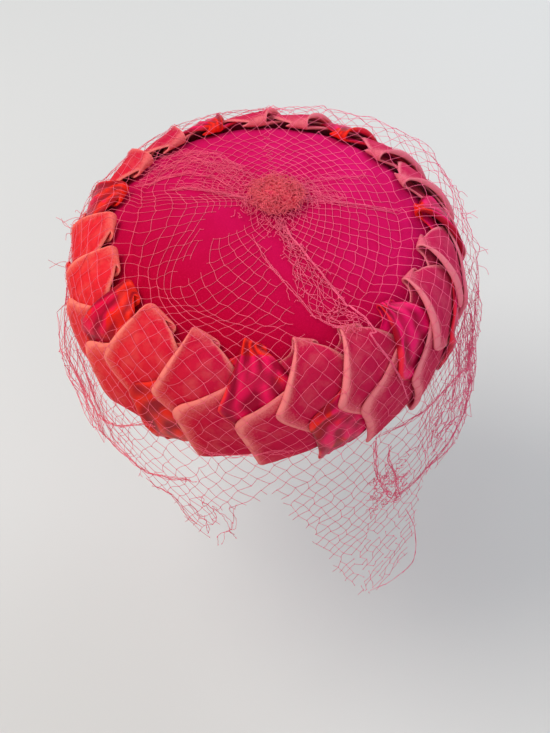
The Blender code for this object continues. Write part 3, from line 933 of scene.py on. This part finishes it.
def add_bundle(bundle, points, edges, marks):
    """Put threads into a bundle: points, edges between them, and whether each point is a knot."""
    start = len(bundle[0])
    bundle[0].extend(points)
    bundle[1].extend((a + start, b + start) for a, b in edges)
    bundle[2].extend(marks)


thread_finish = build_thread_finish("net_thread", (0.94, 0.14, 0.21, 1), (0.94, 0.13, 0.30, 1))
THREADS = build_thread_tree("net_threads", thread_finish)
TOUCH_TREE = build_touch_tree([
    bpy.data.objects[name] for name in ("crown_cloth", "velvet_ribbon_1", "velvet_ribbon_2", "satin_ribbon")
])
net_parts = build_net(TOUCH_TREE)
for part in build_net(TOUCH_TREE, 1).values():
    add_bundle(net_parts["hanging"], *part)
for part, name in (("hat", "net_on_hat"), ("hanging", "net_hanging")):
    net = sweep_threads(name, *net_parts[part], THREADS, THREAD_RADIUS, KNOT_RADIUS)
    join_hat(net, "veil", "veil")


# Crumpled net: where the net has drawn together into a rope of twisted threads, from the puff over the
# crown's edge and down the plait, and into cords and tangles below the rim, with loose thread ends.
# Lines on the crown are x and y seen from above, and on the side or below it azimuth and height.
CRUMPLE_RADIUS = 0.16
ROPE = ((8.9, -1.5), (12.5, -16.0), (18.4, -26.6), (27.8, -41.1), (43.9, -63.5), (60.2, -84.0))
ROPE_DOWN = ((33.6, 80.5), (36.5, 64.0), (38.4, 49.7), (41.4, 21.5))
CRUMPLE_INNER = ((4.0, -6.0), (8.0, -19.0), (11.5, -34.0), (17.0, -57.0), (28.6, -75.7), (41.9, -86.4))
CRUMPLE_EDGE = ((-8.4, -11.2), (-3.2, -30.2), (4.7, -45.5), (16.3, -59.0), (28.6, -75.7), (41.9, -86.4))
# Cords and tangles below: azimuth and height of their points, strands and spread in millimetres.
NET_CORDS = (
    (((-76, 4), (-66, -6), (-59, -8), (-54, -8), (-48, -4), (-43, 4), (-35, 22), (-29, 27)), 5, 1.5),
    (
        ((-62, -30), (-56, -28), (-46, -26), (-40, -28), (-36, -28), (-30, -22), (-23, -14), (-19, -13)),
        5, 1.5,
    ),
    (((-38, -38), (-33, -40), (-29, -38), (-26, -42), (-22, -56), (-17, -66)), 3, 1.2),
    (((96, 2), (86, -12), (72, -8), (58, 4), (44, 8), (31, 12)), 5, 2.2),
    (((92, -30), (80, -44), (66, -53), (54, -60), (46, -63), (38, -62)), 5, 1.8),
    (((42, -76), (46, -109), (50, -144), (50, -170), (43, -178), (33, -169)), 2, 0.5),
    (((30, 16), (30, 0), (31, -22), (34, -44), (38, -63)), 6, 1.4),
    (((36, -2), (35, -16), (38, -39), (39, -55), (38, -64)), 6, 1.4),
    (((-23, -37), (-20, -47), (-17, -53), (-16, -66)), 2, 3.0),
    (((-15, -28), (-12, -39), (-10, -56), (-8, -67)), 2, 3.0),
    (((-8, -23), (-9, -37), (-9, -51), (-12, -64), (-15, -79)), 2, 3.0),
    (((-19, -22), (-17, -30), (-15, -41), (-16, -61)), 2, 3.0),
    (((-22, 20), (-14, 16), (-6, 19), (2, 22), (10, 20)), 3, 1.8),
)
# Threads drawn together over the crown: points, strands and spread.
CROWN_BANDS = (
    (((-78, 37), (-64, 42), (-49, 43), (-36, 38), (-25, 31), (-14, 20)), 6, 1.4),
    (((-74, 47), (-60, 51), (-46, 52), (-34, 47), (-22, 38), (-12, 27)), 8, 5.0),
    (((-68, 58), (-58, 61), (-44, 62), (-32, 56), (-21, 45), (-10, 34)), 6, 3.0),
    (((-58, 30), (-47, 30), (-38, 27), (-26, 20), (-16, 12), (-8, 3)), 8, 2.2),
    (((16, 24), (31, 17), (44, 11), (61, 8), (80, 8)), 6, 2.2),
    (((22, 24), (34, 30), (48, 33), (62, 40)), 5, 3.0),
)
# Crumpled cells between two lines, with columns and rows.
CROWN_PATCHES = (
    (((-66, 62), (-44, 64), (-28, 53), (-8, 36)), ((-78, 37), (-47, 43), (-30, 34), (-12, 19)), 24, 9),
    (((-50, 38), (-38, 36), (-25, 28), (-12, 17)), ((-52, 28), (-38, 25), (-26, 18), (-10, 3)), 14, 5),
    (((17, 32), (30, 28), (46, 20)), ((19, 10), (32, 8), (48, 6)), 14, 8),
)
SIDE_PATCHES = (
    (((98, 22), (82, 18), (66, 14), (52, 2)), ((94, -46), (80, -52), (66, -58), (52, -66)), 15, 10),
    (((-100, 24), (-84, 14), (-70, 2), (-58, -8)), ((-96, -34), (-80, -36), (-66, -32), (-52, -32)), 13, 6),
)
# The strands wander by noise_vector, which is the same in each run only with a seed of its own.
STRAND_SEED = 5
noise.seed_set(STRAND_SEED)


def crown_spot(x, y):
    """Azimuth and distance along the net of a place on the crown seen from above."""
    down = math.hypot(x, y)
    for _ in range(6):
        near = max(0.0, 1 - down / 80) ** 1.3
        down = math.hypot(x - PUFF_PLACE[0] * near, y - PUFF_PLACE[1] * near)
    near = max(0.0, 1 - down / 80) ** 1.3
    return math.degrees(math.atan2(x - PUFF_PLACE[0] * near, -(y - PUFF_PLACE[1] * near))), down


def side_spot(azimuth, z):
    """The same of a place on the side of the hat or below it."""
    return azimuth, float(np.interp(-z, -NET_LINE[2:, 1], NET_LINE_AT[2:]))


def smooth_path(points, count):
    """count points on a smooth curve through the given ones."""
    points = np.asarray(points, float)
    ring = np.concatenate((2 * points[:1] - points[1:2], points, 2 * points[-1:] - points[-2:-1]))
    places = []
    for at in np.linspace(0, len(points) - 1.0001, count):
        k, t = int(at), at - int(at)
        p0, p1, p2, p3 = ring[k : k + 4]
        places.append(0.5 * (2 * p1 + (p2 - p0) * t + (2 * p0 - 5 * p1 + 4 * p2 - p3) * t**2
                             + (3 * p1 - p0 - 3 * p2 + p3) * t**3))
    return np.array(places)


def add_thread(bundle, places, knotted=0.0, draw=None):
    marks = [bool(knotted) and draw.random() < knotted for _ in places]
    add_bundle(bundle, places, [(k, k + 1) for k in range(len(places) - 1)], marks)


def add_cord(bundle, spots, strands, spread, seed, loft=0.6):
    """Strands that twist round a line of places on the net."""
    draw = random.Random(seed)
    line = smooth_path(spots, 12 * len(spots))
    for strand in range(strands):
        first, last = draw.uniform(0, 0.15), draw.uniform(0.85, 1.0)
        thread = []
        for k, (azimuth, down) in enumerate(line):
            share = k / len(line)
            if not first <= share <= last:
                continue
            wander = noise.noise_vector(Vector((share * len(spots) * 1.1, strand * 3.7, seed)))
            kink = noise.noise_vector(Vector((k * 0.7, strand * 5.1, seed + 2.5)))
            aside, along, out = np.array(wander) * spread * 1.6 + np.array(kink) * 0.4
            azimuth += math.degrees(aside / max(25.0, min(down, 122.0)))
            thread.append(net_place(azimuth, down + along, TOUCH_TREE, loft + min(abs(out), 1.4)))
        add_thread(bundle, thread, 0.12, draw)


def add_patch(bundle, first, second, spot, columns, rows, jitter, loft, seed):
    """Small crumpled cells of net between two lines of places, each turned to a net place by spot."""
    draw = random.Random(seed)
    first, second = smooth_path(first, columns + 1), smooth_path(second, columns + 1)
    knots = {}
    for i in range(columns + 1):
        for j in range(rows + 1 - i % 2):
            share = (j + 0.5 * (i % 2)) / rows
            stray = np.array((draw.gauss(0, 1), draw.gauss(0, 1))) * jitter
            a, b = first[i] * (1 - share) + second[i] * share + stray
            knots[i, j] = net_place(*spot(a, b), TOUCH_TREE, draw.uniform(0, loft))
    for (i, j), start in knots.items():
        for other in ((i + 1, j), (i + 1, j - 1 + 2 * (i % 2))):
            if other in knots and draw.random() > 0.1:
                add_thread(bundle, [start, knots[other]], 0.3, draw)


def add_kinks(bundle, count, choose, length, seed, loft):
    """Short kinked threads that start at chosen places on the net."""
    draw = random.Random(seed)
    for _ in range(count):
        azimuth, down = choose(draw)
        heading = draw.uniform(0, 2 * math.pi)
        thread = []
        for _ in range(draw.randint(3, length)):
            thread.append(net_place(azimuth, down, TOUCH_TREE, draw.uniform(0, loft)))
            heading += draw.uniform(-1.3, 1.3)
            step = draw.uniform(0.9, 2.0)
            azimuth += math.degrees(step * math.cos(heading) / max(18.0, min(down, 122.0)))
            down += step * math.sin(heading)
        add_thread(bundle, thread, 0.25, draw)


crumples = ([], [], [])
rope_line = [crown_spot(x, y) for x, y in ROPE] + [side_spot(azimuth, z) for azimuth, z in ROPE_DOWN]
edge_line = [crown_spot(x, y) for x, y in CRUMPLE_EDGE]
add_cord(crumples, rope_line, 7, 0.7, 5, 1.0)
add_cord(crumples, edge_line, 3, 1.2, 6, 0.6)
add_patch(crumples, ROPE, CRUMPLE_INNER, crown_spot, 32, 5, (0.9, 0.9), 1.0, 60)
for number, (first, second, columns, rows) in enumerate(SIDE_PATCHES):
    add_patch(crumples, first, second, side_spot, columns, rows, (1.3, 2.8), 6.0, 70 + number)
for number, (spots, strands, spread) in enumerate(NET_CORDS):
    add_cord(crumples, [side_spot(azimuth, z) for azimuth, z in spots], strands, spread, 20 + number)
rope_path, edge_path = smooth_path(ROPE, 60), smooth_path(CRUMPLE_EDGE, 60)


def between_ropes(draw):
    at = draw.randrange(60)
    share = draw.random() ** 1.5 * (0.5 if at < 30 else 1.0)
    x, y = rope_path[at] * (1 - share) + edge_path[at] * share
    return crown_spot(x, y)


def round_puff(draw):
    turn = draw.uniform(0, 2 * math.pi)
    size = draw.uniform(13.5, 15.5) + draw.random() ** 2 * 11
    return crown_spot(PUFF_PLACE[0] + size * math.cos(turn), PUFF_PLACE[1] + size * math.sin(turn))


def red_tangle(draw):
    return side_spot(draw.uniform(30, 42), draw.uniform(-68, -24))


def right_folds(draw):
    return side_spot(draw.uniform(46, 100), draw.uniform(-50, 26))


add_kinks(crumples, 70, between_ropes, 7, 7, 1.6)
add_kinks(crumples, 190, round_puff, 6, 8, 1.8)
add_kinks(crumples, 95, red_tangle, 8, 9, 2.5)
add_kinks(crumples, 30, right_folds, 8, 10, 2.0)

# Loose ends that stand away from the hat: azimuth, height, number.
LOOSE_ENDS = ((-98, 62, 4), (-104, 48, 3), (-92, 40, 2), (104, 58, 4), (98, 40, 3), (60, 10, 2))
for azimuth, z, count in LOOSE_ENDS:
    draw = random.Random(azimuth)
    for _ in range(count):
        spot = net_place(*side_spot(azimuth + draw.uniform(-5, 5), z + draw.uniform(-6, 6)), TOUCH_TREE)
        turn = math.radians(azimuth + draw.uniform(-30, 30))
        way = np.array((math.sin(turn), -math.cos(turn), draw.uniform(-0.5, 0.8)))
        bend = np.array((draw.uniform(-1, 1), draw.uniform(-1, 1), draw.uniform(-1, 1)))
        reach = draw.uniform(5.0, 10.0)
        add_thread(crumples, [
            spot + way * reach * t + bend * 5 * t**2 * math.cos(3 * t) for t in np.linspace(0, 1, 8)
        ])
join_hat(sweep_threads("net_crumples", *crumples, THREADS, CRUMPLE_RADIUS, KNOT_RADIUS), "veil", "veil")

# Haze: the same net, drawn together over the back left and the right of the crown in flat bands and
# crumpled cells, so close that its thin threads run together.
HAZE_RADIUS = 0.09
HAZE_KNOT_RADIUS = 0.2
haze = ([], [], [])
for number, (spots, strands, spread) in enumerate(CROWN_BANDS):
    add_cord(haze, [crown_spot(x, y) for x, y in spots], strands, spread, 40 + number, 0.2)
for number, (first, second, columns, rows) in enumerate(CROWN_PATCHES):
    add_patch(haze, first, second, crown_spot, columns, rows, (0.9, 0.9), 0.8, 61 + number)
join_hat(sweep_threads("net_haze", *haze, THREADS, HAZE_RADIUS, HAZE_KNOT_RADIUS), "veil", "veil")


# Puff: the net's middle, crumpled over itself many times and sewn down on the crown, a soft lump under
# loops of slightly thicker thread.
PUFF_RADIUS = 16.5
PUFF_LOW = 90.2
PUFF_UNDER = 0.9
PUFF_RISE = 5.2
PUFF_ROWS = 14
PUFF_COLUMNS = 40
PUFF_LOOPS = 420
LOOP_STEPS = 6
LOOP_THREAD_RADIUS = 0.2
LOOP_KNOT_RADIUS = 0.42


def build_puff_lump():
    points = []
    for row in range(PUFF_ROWS + 1):
        share = row / PUFF_ROWS
        for k in range(PUFF_COLUMNS):
            turn = 2 * math.pi * k / PUFF_COLUMNS
            way = Vector((math.cos(turn), math.sin(turn), 0))
            edge = PUFF_RADIUS * (0.82 + 0.16 * noise.noise(way * 1.6 + Vector((0, 0, 9.3))))
            if share <= 0.5:
                size, z = share * 2 * edge, PUFF_LOW - PUFF_UNDER
            else:
                over = (share - 0.5) * 2
                size = edge * math.cos(over * math.pi / 2)
                z = PUFF_LOW - PUFF_UNDER + PUFF_RISE * math.sin(over * math.pi / 2)
            x, y = PUFF_PLACE[0] + size * way.x, PUFF_PLACE[1] + size * way.y
            crumple = noise.noise(Vector((x * 0.28, y * 0.28, z * 0.3)))
            points.append((x, y, z + (1.7 * crumple if share > 0.5 else 0)))
    piece = make_mesh("puff_lump", points, ring_faces(PUFF_ROWS + 1, PUFF_COLUMNS))
    close_mesh(piece)
    return piece


def build_puff_finish():
    finish, tree, shader = new_finish("puff_layers", 0.9, 0.15, 0.5, (1.0, 0.5, 0.45), 0.4)
    cells = speckle(tree, 520.0, 4.0)
    mask = map_range(tree, cells, 0.40, 0.62, 1.0)
    colour = mix_colours(tree, mask, (0.50, 0.006, 0.05, 1), (0.82, 0.09, 0.13, 1))
    link_finish(tree, shader, colour, cells, 0.9, 0.0012)
    return finish


def build_puff_loops():
    """Small leaning arches of thread all over the puff, some with a knot at the top."""
    draw = random.Random(17)
    loops = ([], [], [])
    for _ in range(PUFF_LOOPS):
        turn = draw.uniform(0, 2 * math.pi)
        size = PUFF_RADIUS * math.sqrt(draw.random())
        top = PUFF_LOW + 5.0 * math.sqrt(max(0.0, 1 - (size / (PUFF_RADIUS * 1.05)) ** 2)) - 0.4
        middle = np.array((*(PUFF_PLACE + size * np.array((math.cos(turn), math.sin(turn)))), top))
        heading = draw.uniform(0, 2 * math.pi)
        way = np.array((math.cos(heading), math.sin(heading), 0.0))
        width, tall = draw.uniform(1.0, 3.2), draw.uniform(0.4, 2.0)
        skew = np.array((draw.uniform(-1, 1), draw.uniform(-1, 1), 0.0)) * 1.2
        points, marks = [], []
        for k in range(LOOP_STEPS + 1):
            angle = math.pi * k / LOOP_STEPS
            up = np.array((0, 0, tall * math.sin(angle) - 0.3))
            points.append(middle - way * width * math.cos(angle) + skew * math.sin(angle) + up)
            marks.append(k == LOOP_STEPS // 2 and draw.random() < 0.6)
        add_bundle(loops, points, [(k, k + 1) for k in range(LOOP_STEPS)], marks)
    return loops


lump = build_puff_lump()
lump.data.materials.append(build_puff_finish())
join_hat(lump, "veil_gather", "veil_gather")
loop_finish = build_thread_finish("puff_thread", (0.86, 0.11, 0.14, 1), (0.86, 0.11, 0.17, 1))
LOOP_TREE = build_thread_tree("puff_threads", loop_finish)
puff_loops = sweep_threads("puff_loops", *build_puff_loops(), LOOP_TREE, LOOP_THREAD_RADIUS, LOOP_KNOT_RADIUS)
join_hat(puff_loops, "veil_gather", "veil_gather")


# Floor and light: a plain pale floor under the hat, which is held over it as when it is worn, one broad
# warm light from the upper left, two weaker ones from the back right and the front, and an even light
# all round.
FLOOR_Z = -215.0
FLOOR_REACH = 6000.0
corners = [(x * FLOOR_REACH, y * FLOOR_REACH, FLOOR_Z) for x, y in ((-1, -1), (1, -1), (1, 1), (-1, 1))]
floor = make_mesh("floor", corners, [(0, 1, 2, 3)])
floor_finish, _, floor_shader = new_finish("pale_floor", 0.8, 0.2, 0.0, (1, 1, 1), 0.5)
floor_shader.inputs["Base Color"].default_value = (0.62, 0.62, 0.61, 1)
floor.data.materials.append(floor_finish)


def add_light(name, place, size, watts, colour):
    """A square lamp, size metres wide, that looks at the hat."""
    lamp = bpy.data.lights.new(name, "AREA")
    lamp.size = size
    lamp.energy = watts
    lamp.color = colour
    holder = add_object(name, lamp)
    holder.location = place
    holder.rotation_euler = (-Vector(place)).to_track_quat("-Z", "Y").to_euler()


add_light("window", (-0.9, 0.1, 1.3), 0.9, 17.0, (1.0, 0.95, 0.88))
add_light("back_window", (0.8, 1.0, 0.9), 0.7, 9.0, (0.86, 0.92, 1.0))
add_light("front_fill", (0.3, -1.4, 0.9), 1.2, 7.0, (1.0, 0.98, 0.96))
world = bpy.data.worlds.new("room")
world.use_nodes = True
world.node_tree.nodes["Background"].inputs["Color"].default_value = (0.9, 0.93, 0.97, 1)
world.node_tree.nodes["Background"].inputs["Strength"].default_value = 0.55
bpy.context.scene.world = world
bpy.context.scene.view_settings.view_transform = "Standard"
